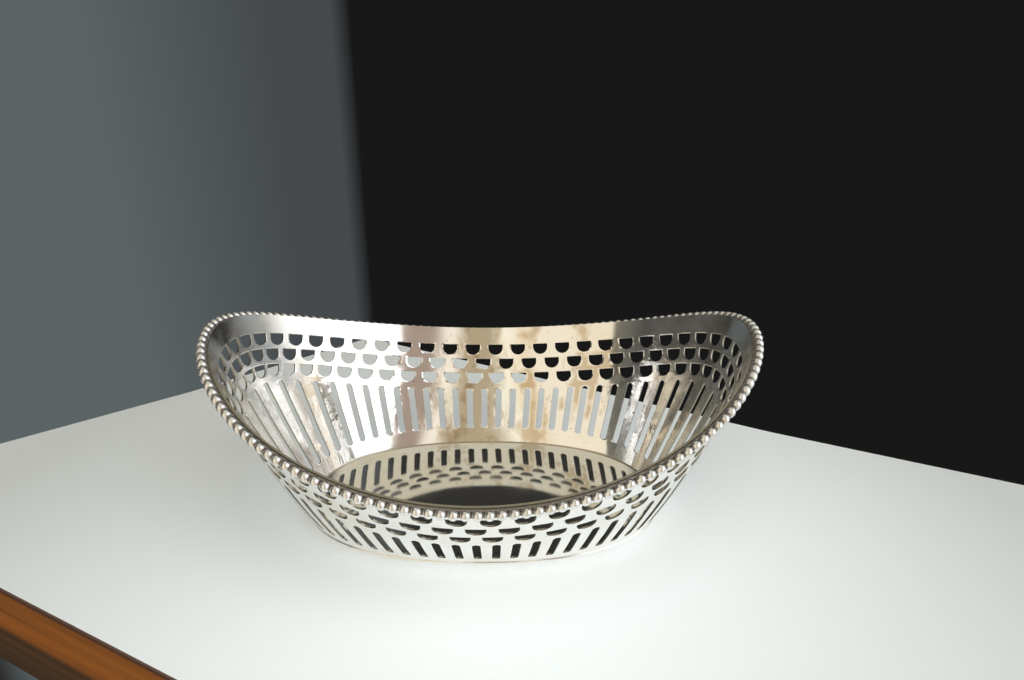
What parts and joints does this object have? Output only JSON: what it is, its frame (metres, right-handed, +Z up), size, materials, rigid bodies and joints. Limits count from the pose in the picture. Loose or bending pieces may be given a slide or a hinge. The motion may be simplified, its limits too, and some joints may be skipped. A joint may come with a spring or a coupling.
{
  "type": "pierced bonbon basket",
  "caption": "Oval flared basket for sweets: pierced silver wall with half-round holes and long slots, flat oval base, and a beaded rim that rises to both ends.",
  "frame": {"origin": "centre of the bounding box in plan, on the surface that the base plate stands on", "axes": "+X along the basket's length, towards one raised end; +Y across it; +Z up, out of the open top"},
  "size_m": [0.15, 0.1082, 0.0564],
  "materials": {
    "wall": "polished silver",
    "beads": "polished silver, darker between the beads",
    "plate": "mirror-polished silver"
  },
  "bodies": {
    "root": {"base_plate": "plate", "pierced_wall": "wall", "bead_wire": "beads"}
  },
  "joints": []
}
